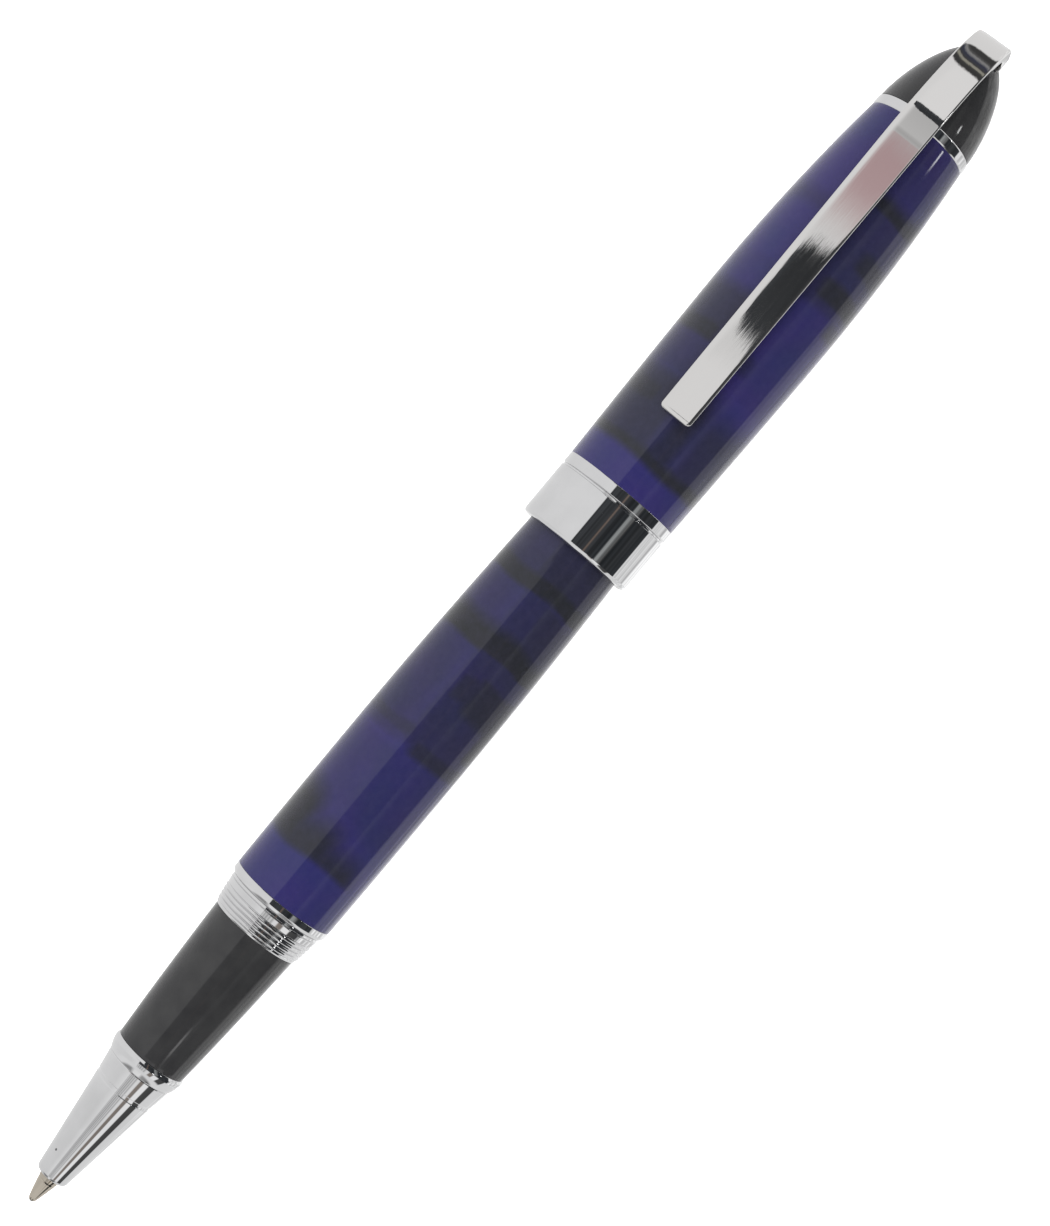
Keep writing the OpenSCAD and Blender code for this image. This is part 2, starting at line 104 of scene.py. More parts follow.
def soften(points, q, closed=True, pieces=4):
    """The outline with each corner rounded to radius q or its own, or less where the sides are short."""
    out = []
    count = len(points)
    for i, p in enumerate(points):
        if not closed and i in (0, count - 1):
            out.append(p)
            continue
        here = Vector(p[:2])
        before = Vector(points[i - 1][:2]) - here
        after = Vector(points[(i + 1) % count][:2]) - here
        if before.length < 1e-6 or after.length < 1e-6:
            continue
        half = before.angle(after) / 2
        size = p[2] if len(p) > 2 else q
        if size <= 0 or not SHARPEST < half < BLUNTEST:
            out.append(tuple(here))
            continue
        cut = min(size / math.tan(half), before.length * SIDE_SHARE, after.length * SIDE_SHARE)
        a = here + before.normalized() * cut
        b = here + after.normalized() * cut
        for k in range(pieces + 1):
            t = k / pieces
            out.append(tuple(a * (1 - t) ** 2 + here * 2 * t * (1 - t) + b * t ** 2))
    return out


def mesh_object(name, verts, faces, sharp_angle=SHARP_ANGLE):
    """A closed mesh object with smooth shading and sharp edges above sharp_angle degrees."""
    mesh = bpy.data.meshes.new(name)
    mesh.from_pydata(verts, [], faces)
    mesh.update()
    piece = bpy.data.objects.new(name, mesh)
    bpy.context.scene.collection.objects.link(piece)
    mesh.polygons.foreach_set("use_smooth", [True] * len(mesh.polygons))
    mesh.set_sharp_from_angle(angle=math.radians(sharp_angle))
    return piece


# Length of a run that braced() holds flat, and the distance of its two points from the ends.
LONG_RUN, BRACE = 0.45, 0.04


def braced(outline):
    """The outline with a point close to both ends of each long straight run, so that it shades flat."""
    out = []
    for i, p in enumerate(outline):
        here, after = Vector(p[:2]), Vector(outline[(i + 1) % len(outline)][:2])
        out.append(tuple(here))
        run = (after - here).length
        if run > LONG_RUN:
            near = BRACE / run
            out += [tuple(here.lerp(after, near)), tuple(here.lerp(after, 1 - near))]
    return out


def lathe(name, outline, segments=SEGMENTS, wobble=None):
    """A body turned about the pen's axis from (station, radius) points that go round it clockwise.

    wobble(station, angle, radius) adds to a point's radius, for a thread."""
    verts, rings, faces = [], [], []
    for station, r in (point[:2] for point in outline):
        if r < 1e-6:
            rings.append([len(verts)])
            verts.append(place(station, 0, 0))
            continue
        ring = []
        for k in range(segments):
            a = 2 * math.pi * k / segments
            reach = r + (wobble(station, a, r) if wobble else 0)
            ring.append(len(verts))
            verts.append(place(station, reach * math.sin(a), reach * math.cos(a)))
        rings.append(ring)
    closed = len(rings[0]) > 1 or len(rings[-1]) > 1
    pairs = list(zip(rings, rings[1:])) + ([(rings[-1], rings[0])] if closed else [])
    for one, two in pairs:
        if len(one) == 1 and len(two) == 1:
            continue
        for k in range(segments):
            n = (k + 1) % segments
            if len(one) == 1:
                faces.append((one[0], two[n], two[k]))
            elif len(two) == 1:
                faces.append((one[k], one[n], two[0]))
            else:
                faces.append((one[k], one[n], two[n], two[k]))
    return mesh_object(name, verts, faces)


def tube_along(name, path, wire, sides=16):
    """A round wire of radius wire along a list of points in millimetres, with flat closed ends."""
    verts, faces = [], []
    centres = [place(*p) for p in path]
    for i, c in enumerate(centres):
        ahead = centres[min(i + 1, len(centres) - 1)] - centres[max(i - 1, 0)]
        ahead.normalize()
        out = Vector((0, c.y, c.z - AXIS_Z)).normalized()
        side = ahead.cross(out).normalized()
        up = side.cross(ahead)
        for k in range(sides):
            a = 2 * math.pi * k / sides
            verts.append(c + (up * math.cos(a) + side * math.sin(a)) * wire * MM)
    for i in range(len(centres) - 1):
        for k in range(sides):
            n = (k + 1) % sides
            faces.append((i * sides + k, i * sides + n, (i + 1) * sides + n, (i + 1) * sides + k))
    faces.append(tuple(range(sides - 1, -1, -1)))
    faces.append(tuple((len(centres) - 1) * sides + k for k in range(sides)))
    return mesh_object(name, verts, faces)


def finish_piece(piece, material, body, node):
    """Material, body and replaced CAD node of a piece."""
    piece.data.materials.append(material)
    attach(piece, body)
    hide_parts(node)
    return piece


# ---------------------------------------------------------------- materials

class Tree:
    """A node tree, with one short call for each kind of node."""

    def __init__(self, tree):
        self.tree = tree

    def add(self, kind, **settings):
        node = self.tree.nodes.new(kind)
        for key, value in settings.items():
            setattr(node, key, value)
        return node

    def link(self, output, node, socket):
        self.tree.links.new(output, node.inputs[socket])

    def put(self, node, values):
        """Sets or links the sockets of a node. A tuple is an RGB colour."""
        for socket, value in values:
            if isinstance(value, (int, float)):
                node.inputs[socket].default_value = value
            elif isinstance(value, tuple):
                node.inputs[socket].default_value = (*value, 1)
            else:
                self.link(value, node, socket)

    def ramp(self, value, stops):
        node = self.add("ShaderNodeValToRGB")
        elements = node.color_ramp.elements
        while len(elements) < len(stops):
            elements.new(0.5)
        for element, (at, colour) in zip(elements, stops):
            element.position = at
            element.color = (*colour, 1)
        self.link(value, node, "Fac")
        return node.outputs["Color"]

    def smooth(self, value, low, high):
        """0 before low and 1 after high, or the other way round where low is the larger."""
        node = self.add("ShaderNodeMapRange", interpolation_type="SMOOTHSTEP")
        self.put(node, zip(("Value", "From Min", "From Max"), (value, low, high)))
        return node.outputs["Result"]

    def math(self, operation, *values):
        node = self.add("ShaderNodeMath", operation=operation)
        self.put(node, enumerate(values))
        return node.outputs[0]

    def mix(self, factor, a, b, blend="MIX"):
        node = self.add("ShaderNodeMix", data_type="RGBA", blend_type=blend)
        self.put(node, ((0, factor), (6, a), (7, b)))
        return node.outputs[2]


class Nodes(Tree):
    """A material's node tree and its shader."""

    def __init__(self, name):
        self.material = bpy.data.materials.new(name)
        self.material.use_nodes = True
        super().__init__(self.material.node_tree)
        self.shader = self.tree.nodes["Principled BSDF"]
        self.where = self.add("ShaderNodeTexCoord").outputs["Object"]

    def stretched(self, x, y, z):
        """Object coordinates scaled along each axis."""
        mapping = self.add("ShaderNodeMapping")
        mapping.inputs["Scale"].default_value = (x, y, z)
        self.link(self.where, mapping, "Vector")
        return mapping.outputs["Vector"]

    def noise(self, scale, detail=3.0, rough=0.5, vector=None):
        node = self.add("ShaderNodeTexNoise")
        self.put(node, zip(("Scale", "Detail", "Roughness", "Vector"), (scale, detail, rough, vector or self.where)))
        return node.outputs["Fac"]

    def remap(self, value, low, high, to_low, to_high):
        node = self.add("ShaderNodeMapRange")
        sockets = ("Value", "From Min", "From Max", "To Min", "To Max")
        self.put(node, zip(sockets, (value, low, high, to_low, to_high)))
        return node.outputs["Result"]

    def bump(self, height, strength, distance):
        node = self.add("ShaderNodeBump")
        self.put(node, (("Strength", strength), ("Distance", distance), ("Height", height)))
        self.feed("Normal", node.outputs["Normal"])

    def set(self, **values):
        for socket, value in values.items():
            self.shader.inputs[socket.replace("_", " ")].default_value = value

    def feed(self, socket, output):
        self.link(output, self.shader, socket)


# Heights of bump in metres: of polish and turning marks, and of fibre.
SHALLOW, DEEP = 0.00001, 0.00005
# The part of a noise's range in which a mottled colour changes.
MOTTLE = (0.35, 0.65)
POLISH = {"IOR": 1.5, "Specular_IOR_Level": 0.32, "Sheen_Weight": 0.05, "Sheen_Roughness": 0.5}
# Base colour of the chrome plating.
PLATED = 0.67
BLUES = (0.0120, 0.0090, 0.0475), (0.0090, 0.0094, 0.0430)
BLACKS = (0.0062, 0.0070, 0.0078), (0.0080, 0.0080, 0.0112)
HAZE = (0.04, 0.038, 0.07)


def shade(base, share):
    """A colour at a share of its brightness."""
    return tuple(c * share for c in base)


def hairlines(m):
    """Fine scratches along the pen."""
    return m.noise(90, 2, vector=m.stretched(30, 260, 260))


def specks(m, scale, share):
    """1 on a few small round pits, 0 elsewhere."""
    cells = m.add("ShaderNodeTexVoronoi", feature="F1")
    cells.inputs["Scale"].default_value = scale
    m.link(m.where, cells, "Vector")
    near = m.remap(cells.outputs["Distance"], 0.10, 0.16, 1, 0)
    chosen = m.math("GREATER_THAN", m.ramp(cells.outputs["Color"], [(0, (0, 0, 0)), (1, (1, 1, 1))]), 1 - share)
    return m.math("MULTIPLY", near, chosen)


def metal(name, base, low, high, turned=0.0, pits=0.0):
    """A metal with uneven polish, fine marks round the axis and a few pits."""
    m = Nodes(name)
    m.set(Metallic=1.0)
    cloud = m.noise(260, 4)
    colour = m.mix(m.remap(cloud, *MOTTLE, 0, 1), shade(base, 0.93), base)
    if pits:
        colour = m.mix(specks(m, 900, pits), colour, shade(base, 0.25))
    m.feed("Base Color", colour)
    hair = m.noise(60, 2, vector=m.stretched(900, 12, 12))
    m.feed("Roughness", m.remap(m.math("ADD", cloud, hair), 0.75, 1.25, low, high))
    m.bump(hair, turned, SHALLOW)
    return m.material


def drawn(name, base):
    """Plated sheet with faint draw lines along it and a few pits."""
    m = Nodes(name)
    m.set(Metallic=1.0)
    m.feed("Base Color", m.mix(specks(m, 700, 0.03), base, shade(base, 0.3)))
    lines = m.noise(60, 3, 0.6, vector=m.stretched(1.2, 60, 60))
    waves = m.noise(40, 2, vector=m.stretched(1.5, 8, 8))
    ripples = m.noise(60, 2, vector=m.stretched(4, 60, 60))
    relief = m.math("ADD", m.math("MULTIPLY", lines, 0.5), m.math("MULTIPLY", waves, 1.5))
    m.feed("Roughness", m.remap(lines, 0.3, 0.7, 0.012, 0.035))
    m.bump(m.math("ADD", relief, m.math("MULTIPLY", ripples, 0.8)), 0.35, SHALLOW)
    return m.material


def gloss(name, base, mottle, low, high):
    """Polished resin or plastic with faint mottling and hairline scratches."""
    m = Nodes(name)
    m.set(**POLISH)
    cloud = m.noise(420, 4)
    m.feed("Base Color", m.mix(m.remap(cloud, *MOTTLE, 0, 1), base, mottle))
    hair = hairlines(m)
    m.feed("Roughness", m.remap(hair, 0.3, 0.7, low, high))
    m.bump(hair, 0.02, SHALLOW)
    return m.material


def marbled(name):
    """Violet blue resin with near-black patches under a clear polish."""
    m = Nodes(name)
    m.set(**POLISH)
    patch = m.add("ShaderNodeAttribute", attribute_name="patch").outputs["Fac"]
    cloud = m.noise(330, 5, 0.6)
    fine = m.noise(1500, 3)
    edge = m.math("ADD", patch, m.remap(cloud, 0, 1, -0.14, 0.14))
    dark = m.remap(edge, 0.06, 0.94, 0, 1)
    blue = m.mix(m.remap(m.noise(170, 3), *MOTTLE, 0, 1), *BLUES)
    near_black = m.mix(m.remap(cloud, 0.3, 0.7, 0, 1), *BLACKS)
    colour = m.mix(dark, blue, near_black)
    m.feed("Base Color", m.mix(m.remap(fine, 0.3, 0.7, 0, 0.06), colour, HAZE))
    hair = hairlines(m)
    m.feed("Roughness", m.remap(hair, 0.3, 0.7, 0.03, 0.07))
    m.bump(hair, 0.015, SHALLOW)
    return m.material


def fibre(name, base, darker):
    """Bonded fibre with its strands along the pen."""
    m = Nodes(name)
    strand = m.noise(300, 4, vector=m.stretched(0.4, 12, 12))
    m.feed("Base Color", m.mix(strand, darker, base))
    m.feed("Roughness", m.remap(strand, 0.2, 0.8, 0.7, 0.95))
    m.bump(strand, 0.5, DEEP)
    return m.material


chrome = metal("chrome", (PLATED, PLATED, PLATED * 1.01), 0.02, 0.045, turned=0.002, pits=0.02)
clip_chrome = drawn("clip_chrome", (PLATED, PLATED * 0.985, PLATED * 0.975))
ball_steel = metal("ball_steel", (0.55, 0.54, 0.53), 0.08, 0.14)
point_metal = metal("point_metal", (0.50, 0.455, 0.385), 0.05, 0.10, turned=0.05)
brass = metal("brass", (0.66, 0.47, 0.20), 0.18, 0.32, turned=0.35)
steel = metal("steel", (0.55, 0.56, 0.58), 0.2, 0.34, turned=0.3)
wire_steel = metal("wire_steel", (0.58, 0.59, 0.61), 0.12, 0.24, turned=0.2)
resin = marbled("marbled_resin")
black = gloss("black_resin", (0.0108, 0.0108, 0.0114), (0.0140, 0.0140, 0.0144), 0.03, 0.08)
plastic = gloss("black_plastic", (0.018, 0.018, 0.020), (0.030, 0.030, 0.032), 0.32, 0.5)
blue_plastic = gloss("blue_plastic", (0.02, 0.04, 0.22), (0.03, 0.05, 0.26), 0.25, 0.4)
white_fibre = fibre("wick_fibre", (0.82, 0.82, 0.80), (0.6, 0.6, 0.6))
ink_fibre = fibre("ink_fibre", (0.03, 0.04, 0.20), (0.01, 0.015, 0.10))

CARRIED = {
    "feed_wick": white_fibre, "refill_nose": plastic, "refill_tube": steel, "ink_reservoir": ink_fibre,
    "refill_rear_plug": blue_plastic, "cap_liner": plastic, "lock_nut": brass, "top_bush": brass,
}
for node, material in CARRIED.items():
    nodes[node].data.materials.clear()
    nodes[node].data.materials.append(material)


# ---------------------------------------------------------------- the writing point

def writing_ball():
    r = radius("tip_ball")
    outline = [(r - r * math.cos(a), r * math.sin(a)) for a in steps(0, math.pi, 24)]
    outline[0] = (0, 0)
    outline[-1] = (2 * r, 0)
    return finish_piece(lathe("writing_ball", outline, 48), ball_steel, "ball", "tip_ball")


def writing_point():
    """Cone with a crimped lip, a fine groove near its base, then the stem and the shank."""
    first, last = span("refill_point")
    stem = radius("refill_point")
    ball = radius("tip_ball")
    lip, cone_end, stem_end = ball + 0.06, 3.1, 8.3
    shank, socket, channel = stem - 0.2, ball + 0.02, 0.2
    wick, wick_from = 0.45, 1.6
    groove, groove_depth = 2.72, 0.05

    def cone(x):
        return lip + (stem - lip) * ((x - first) / (cone_end - first)) ** 0.9

    outline = [(first, 0.93 * socket), (first, lip - 0.03), (first + 0.05, lip)]
    outline += [(x, cone(x)) for x in steps(first + 0.15, groove - 0.1, 12)]
    outline += [(groove + side, cone(groove) - groove_depth) for side in (-0.04, 0.04)]
    outline += [(groove + 0.08, cone(groove + 0.08)), (cone_end, stem), (stem_end, stem), (stem_end, shank)]
    outline += [(last, shank), (last, wick), (wick_from, wick), (wick_from, channel), (2 * ball, channel)]
    outline += [(ball + socket * math.cos(a), socket * math.sin(a)) for a in steps(0.7, 1.9, 8)]
    piece = lathe("writing_point", outline, 96)
    return finish_piece(piece, point_metal, "refill", "refill_point")


# ---------------------------------------------------------------- the section

def nose_cone():
    """Long cone with a step at its fine groove, then a rounded bead, and the bores for the refill's nose."""
    first, last = span("nose_cone")
    bead = radius("nose_cone")
    front, groove_r = 1.85, 3.40
    groove, groove_end, bead_at = first + 11.5, first + 12.0, last - 1.9
    bead_from, bead_run, bead_rise = bead_at + 0.16, 1.35, 0.36
    thin_from, thick_from = 8.0, 15.5
    spigot = span("grip_section")[0]
    outline = [(first, TIP_BORE), (first, front - 0.12, 0.05)]
    outline += [(first + 0.25, front + 0.02, 0.12)]
    outline += [(groove - 0.02, groove_r, 0.02), (groove + 0.03, groove_r - 0.04, 0.02)]
    outline += [(groove_end - 0.06, groove_r + 0.01, 0.03), (groove_end, groove_r + 0.06, 0.04)]
    outline += [(bead_at - 0.02, bead - 0.44, 0.05), (bead_at + 0.07, bead - 0.46, 0.04)]
    outline += [(bead_from, bead - bead_rise, 0.04)]
    outline += [
        (bead_from + bead_run * t, bead - bead_rise + bead_rise * math.sin(t * math.pi / 2), 0)
        for t in steps(0.15, 1, 8)
    ]
    outline += [(last - 0.3, bead, 0.08), (last - 0.02, bead - 0.14, 0.08), (last, bead - 0.26, 0.03)]
    outline += [(last, SPIGOT_R), (spigot, SPIGOT_R), (spigot, SPIGOT_BORE), (thick_from, SPIGOT_BORE)]
    outline += [(thick_from, THIN_BORE), (thin_from, THIN_BORE), (thin_from, TIP_BORE)]
    piece = lathe("nose_cone_shell", braced(soften(outline, 0.04)))
    return finish_piece(piece, chrome, "section", "nose_cone")


GRIP_TAPER, GRIP_SWELL = 0.9, 0.28


def grip_radius(t, front, rear):
    """Radius at a share of the grip's length: a cone that swells a little in the middle."""
    return front + (rear - front) * t + GRIP_SWELL * t * (1 - t)


def grip():
    """Black sleeve with the spigot that goes into the nose cone."""
    first, last = span("grip_section")
    start = span("nose_cone")[1]
    rear = radius("grip_section")
    front = rear - GRIP_TAPER
    root, shoulder = last - CONNECTOR_ROOT, 21.5
    outline = [(first, SPIGOT_BORE), (first, SPIGOT_R), (start, SPIGOT_R)]
    outline += [(start + (last - start) * t, grip_radius(t, front, rear), 0.08) for t in steps(0, 1, 40)]
    outline += [(last, CONNECTOR_ROOT_R), (root, CONNECTOR_ROOT_R), (root, REFILL_BORE)]
    outline += [(shoulder, REFILL_BORE), (shoulder, SPIGOT_BORE)]
    piece = lathe("grip_sleeve", soften(outline, 0.06))
    return finish_piece(piece, black, "section", "grip_section")


def ribbed_ring():
    """Four fine ribs, then a smooth band with a fine line near the collar."""
    first, last = span("ribbed_ring")
    front = radius("grip_section") + 0.08
    rear = radius("ribbed_ring")
    pitch, ribs, start = 0.5, 4, first + 0.32
    rib_from, rib_rise, rib_reach = -0.04, 0.16, 0.42
    slope = (rear - front) / (last - first)
    outline = [(first, RING_BORE), (first, front - 0.02, 0.04), (first + 0.18, front + 0.08, 0.05)]
    for i in range(ribs):
        x = start + pitch * i
        base = front + slope * (x - first)
        outline += [(x, base - 0.06, 0.03)]
        outline += [
            (x + pitch * (0.5 - rib_reach * math.cos(a)),
             base + slope * pitch / 2 + rib_from + rib_rise * math.sin(a), 0)
            for a in steps(0.35, math.pi - 0.35, 6)
        ]
    band = start + pitch * ribs
    outline += [(band, front + slope * (band - first) - 0.05, 0.03), (band + 0.1, rear - 0.1, 0.05)]
    outline += [(last - 0.42, rear, 0.05), (last - 0.36, rear - 0.09, 0.03)]
    outline += [(last - 0.28, rear - 0.01, 0.04), (last, rear - 0.02, 0.05), (last, RING_BORE)]
    piece = lathe("ribbed_ring_band", braced(soften(outline, 0.03)))
    return finish_piece(piece, chrome, "section", "ribbed_ring")


def thread_wave(turns):
    """0 at the crest and 1 at the root of a thread, for a number of turns along it."""
    phase = turns % 1.0
    return min(1.0, max(0.0, abs(phase - 0.5) * 3.2 - 0.3))


THREAD_PITCH = 0.75
RUN_OUT = 0.4


def threaded_connector():
    """Brass connector with its real right-hand thread behind a smooth neck."""
    first, last = span("threaded_connector")
    crest = radius("threaded_connector")
    neck_end = span("barrel_collar")[0]
    ring_from = neck_end - 3.5
    depth = 0.36

    def thread(station, angle, r):
        if station <= neck_end or r < crest - 0.01:
            return 0.0
        fade = min(1.0, (station - neck_end) / RUN_OUT)
        return -depth * fade * thread_wave(station / THREAD_PITCH + angle / (2 * math.pi))

    outline = [(first, REFILL_BORE), (first, CONNECTOR_ROOT_R), (ring_from, CONNECTOR_ROOT_R)]
    outline += [(ring_from, RING_BORE), (neck_end, RING_BORE)]
    outline += [(x, crest) for x in steps(neck_end + 0.01, last - 0.5, 70)]
    outline += [(last, crest - 0.5), (last, REFILL_BORE)]
    piece = lathe("threaded_connector_brass", outline, 96, thread)
    return finish_piece(piece, brass, "section", "threaded_connector")


# ---------------------------------------------------------------- the barrel

BELLY_AT, BELLY_RISE, BELLY_POWER = 19.9, 0.1, 1.9


def barrel_radius(x):
    """Outer radius of the barrel at a station: almost straight to its belly, then down to the tail."""
    first = span("barrel_collar")[1] - COLLAR_SPIGOT_LEN
    last = span("barrel_tube")[1]
    belly = radius("barrel_tube")
    front = belly - BELLY_RISE
    tail = radius("tail_plug")
    belly_x = first + BELLY_AT
    if x < belly_x:
        return belly - (belly - front) * ((belly_x - x) / BELLY_AT) ** 2
    return belly - (belly - tail) * ((x - belly_x) / (last - belly_x)) ** BELLY_POWER


# Dark patches as (first station, last station, fade-in length, fade-out length, first angle, last angle, fade
# angle, depth). Angles go round the pen in degrees from the clip's line, towards +Y.
BARREL_PATCHES = [
    (46.2, 53.0, 0.6, 3.4, 16, 130, 34, 0.94), (45.8, 50.4, 0.6, 3.4, -14, 112, 30, 0.88),
    (45.7, 48.6, 0.6, 3.0, -56, 112, 34, 0.84), (50.0, 60.8, 3.0, 1.5, -180, 180, 10, 0.27),
    (60.8, 100.0, 1.0, 1.0, 0, 112, 40, 0.50), (61.0, 100.0, 1.0, 1.0, -112, 10, 40, 0.62),
    (60.3, 62.6, 0.7, 1.2, -112, -4, 22, 0.80), (61.6, 63.6, 0.9, 1.0, -6, 112, 22, 0.70),
    (62.5, 71.5, 1.4, 1.6, -112, -52, 30, 0.90), (65.8, 71.6, 2.0, 1.2, -112, -16, 24, 0.85),
    (66.8, 71.0, 1.6, 1.0, -112, 2, 20, 0.80), (73.1, 76.8, 0.6, 2.6, -180, 180, 10, 0.97),
    (73.0, 81.0, 0.8, 1.0, -112, -18, 30, 0.73), (80.7, 83.6, 0.7, 1.8, -180, 180, 10, 0.97),
    (82.0, 100.0, 0.8, 1.2, -180, 180, 10, 0.66), (82.0, 100.0, 0.8, 1.2, -112, 18, 22, 0.78),
    (50.0, 57.5, 1.2, 1.8, 130, 210, 24, 0.85), (63.5, 70.0, 1.0, 1.6, 118, 190, 24, 0.8),
    (100.0, 106.0, 1.0, 1.0, 40, 200, 30, 0.9), (108.0, 113.0, 1.0, 1.5, -120, 40, 30, 0.9),
]
CAP_PATCHES = [
    (97.8, 100.0, 0.7, 1.8, -180, 180, 10, 0.94), (97.8, 107.5, 0.8, 2.0, 0, 112, 20, 0.76),
    (102.6, 106.6, 1.5, 2.4, 18, 112, 22, 0.90), (107.0, 111.4, 1.0, 1.0, 6, 112, 22, 0.54),
    (111.1, 114.2, 1.0, 1.8, 16, 112, 22, 0.92), (113.0, 118.3, 1.0, 1.8, 6, 112, 22, 0.73),
    (129.0, 131.0, 1.6, 1.8, 8, 110, 30, 0.42), (97.8, 108.0, 0.8, 3.4, -30, 6, 26, 0.80),
    (97.8, 106.6, 0.8, 3.0, -112, -20, 30, 0.68), (110.8, 113.4, 1.0, 1.2, -28, -2, 18, 0.56),
    (109.0, 122.0, 1.0, 1.0, -180, 180, 10, 0.18), (119.2, 121.4, 0.8, 1.2, -112, -54, 16, 0.76),
    (121.8, 124.6, 0.9, 1.2, -112, -16, 30, 0.92), (121.0, 135.6, 1.0, 2.4, -112, -2, 20, 0.57),
    (125.8, 129.4, 1.2, 1.8, -112, -30, 36, 0.86), (132.4, 134.8, 0.9, 1.6, -112, -4, 16, 0.92),
    (135.0, 141.9, 1.0, 1.0, -112, -4, 20, 0.36), (105.5, 112.5, 1.2, 1.4, 140, 205, 24, 0.85),
    (118.0, 126.0, 1.6, 1.2, 145, 222, 24, 0.82), (129.0, 134.0, 1.0, 1.2, 130, 185, 24, 0.8),
]


def edge_step(x, at, soft):
    """0 before a place and 1 after it, with a smooth rise of a given length."""
    t = min(1.0, max(0.0, (x - at) / soft + 0.5))
    return t * t * (3 - 2 * t)


# How far the patches' edges wander in millimetres, the same in degrees for each millimetre, how far past its
# ends a patch may show, and how much longer than its fade the smooth step is.
WANDER, WANDER_TURN, PATCH_MARGIN, STEP_SHARE = 0.5, 14, 3, 1.6


def patch_depth(x, angle, patches):
    """How dark the resin is at a station and an angle, from 0 to 1."""
    wander = WANDER * noise.noise(Vector((x * 0.1, math.sin(angle) * 1.2 + 3, math.cos(angle) * 1.2)))
    depth = 0.0
    for first, last, fade_in, fade_out, low, high, fade_angle, strength in patches:
        if x < first - PATCH_MARGIN or x > last + fade_out + PATCH_MARGIN:
            continue
        half = (high - low) / 2
        off = abs((math.degrees(angle) - (low + high) / 2 + 180) % 360 - 180)
        round_it = 1.0 if half >= 180 else 1 - edge_step(off + wander * WANDER_TURN, half, fade_angle)
        after_start = edge_step(x + wander, first, fade_in * STEP_SHARE)
        before_end = 1 - edge_step(x + wander * 1.3, last, fade_out * STEP_SHARE)
        depth = max(depth, strength * round_it * (after_start * before_end))
    return depth


def paint_patches(piece, patches):
    """Writes how dark the resin is at each point of a piece into its 'patch' attribute."""
    values = []
    for v in piece.data.vertices:
        x = (v.co.x - FRONT_X) / MM
        values.append(patch_depth(x, math.atan2(v.co.y, v.co.z - AXIS_Z), patches))
    layer = piece.data.attributes.new("patch", "FLOAT", "POINT")
    layer.data.foreach_set("value", values)


def barrel():
    """Marbled tube, counterbored at the front for the collar's spigot and the bush."""
    first = span("barrel_collar")[1] - COLLAR_SPIGOT_LEN
    last = span("barrel_tube")[1]
    bush_end = span("barrel_bush")[1]
    counter = radius("barrel_bush") + COLLAR_SPIGOT_WALL
    bush_r = counter - COLLAR_SPIGOT_WALL
    wide, wide_end = radius("barrel_bush") - BUSH_LEDGE, last - 21
    face = first + COLLAR_SPIGOT_LEN
    outline = [(first, counter), (first, barrel_radius(first), 0.05)]
    outline += [(x, barrel_radius(x), 0) for x in steps(first + 0.15, last - 0.1, 210)]
    outline += [(last, barrel_radius(last) - 0.03), (last, REFILL_BORE), (wide_end + 1, REFILL_BORE)]
    outline += [(wide_end, wide), (bush_end, wide), (bush_end, bush_r), (face, bush_r), (face, counter)]
    piece = lathe("barrel_shell", soften(outline, 0.04))
    paint_patches(piece, BARREL_PATCHES)
    return finish_piece(piece, resin, "barrel", "barrel_tube")


def collar():
    """Smooth ring on the front of the barrel, with a thin spigot round the bush."""
    first, last = span("barrel_collar")
    r = radius("barrel_collar")
    face = last - COLLAR_SPIGOT_LEN
    spigot_r, spigot_bore = 5.3, 5.05
    outline = [(first, COLLAR_BORE), (first, r - 0.36, 0.05)]
    outline += [(first + 0.14, r - 0.14, 0.1), (first + 0.42, r - 0.01, 0.12)]
    outline += [(face - 0.06, r, 0.02), (face, r - 0.05, 0.02), (face, spigot_r), (last, spigot_r)]
    outline += [(last, spigot_bore), (face, spigot_bore), (face, COLLAR_BORE)]
    piece = lathe("barrel_collar_ring", braced(soften(outline, 0.04)))
    return finish_piece(piece, chrome, "barrel", "barrel_collar")


def bush():
    """Brass bush with the inside thread that takes the connector."""
    first, last = span("barrel_bush")
    outer = radius("barrel_bush")
    bore, depth, ledge = outer - 0.5, 0.3, outer - BUSH_LEDGE

    def thread(station, angle, r):
        if abs(r - bore) > 0.01 or station > last - 1.2:
            return 0.0
        return depth * (1 - thread_wave(station / THREAD_PITCH + angle / (2 * math.pi) + 0.5))

    outline = [(first, outer), (last, outer), (last, ledge), (last - 1, ledge), (last - 1, bore)]
    outline += [(x, bore) for x in steps(last - 1.05, first, 70)]
    piece = lathe("threaded_bush", outline, 96, thread)
    return finish_piece(piece, brass, "barrel", "barrel_bush")


def tail_cap():
    """Black plug with a rounded head and a shallow dimple."""
    first, last = span("tail_plug")
    r = radius("tail_plug")
    head = last - 1
    dimple = 0.25
    outline = [(first, 0), (first, REFILL_BORE), (head, REFILL_BORE), (head, r - 0.02, 0.03)]
    outline += [(head + math.sin(a), r - 1 + math.cos(a), 0) for a in steps(0.1, 1.5, 8)]
    outline += [(last, 1.2, 0.2), (last - dimple, 0.9, 0.2), (last - dimple, 0)]
    piece = lathe("tail_cap", soften(outline, 0.05, closed=False))
    return finish_piece(piece, black, "barrel", "tail_plug")


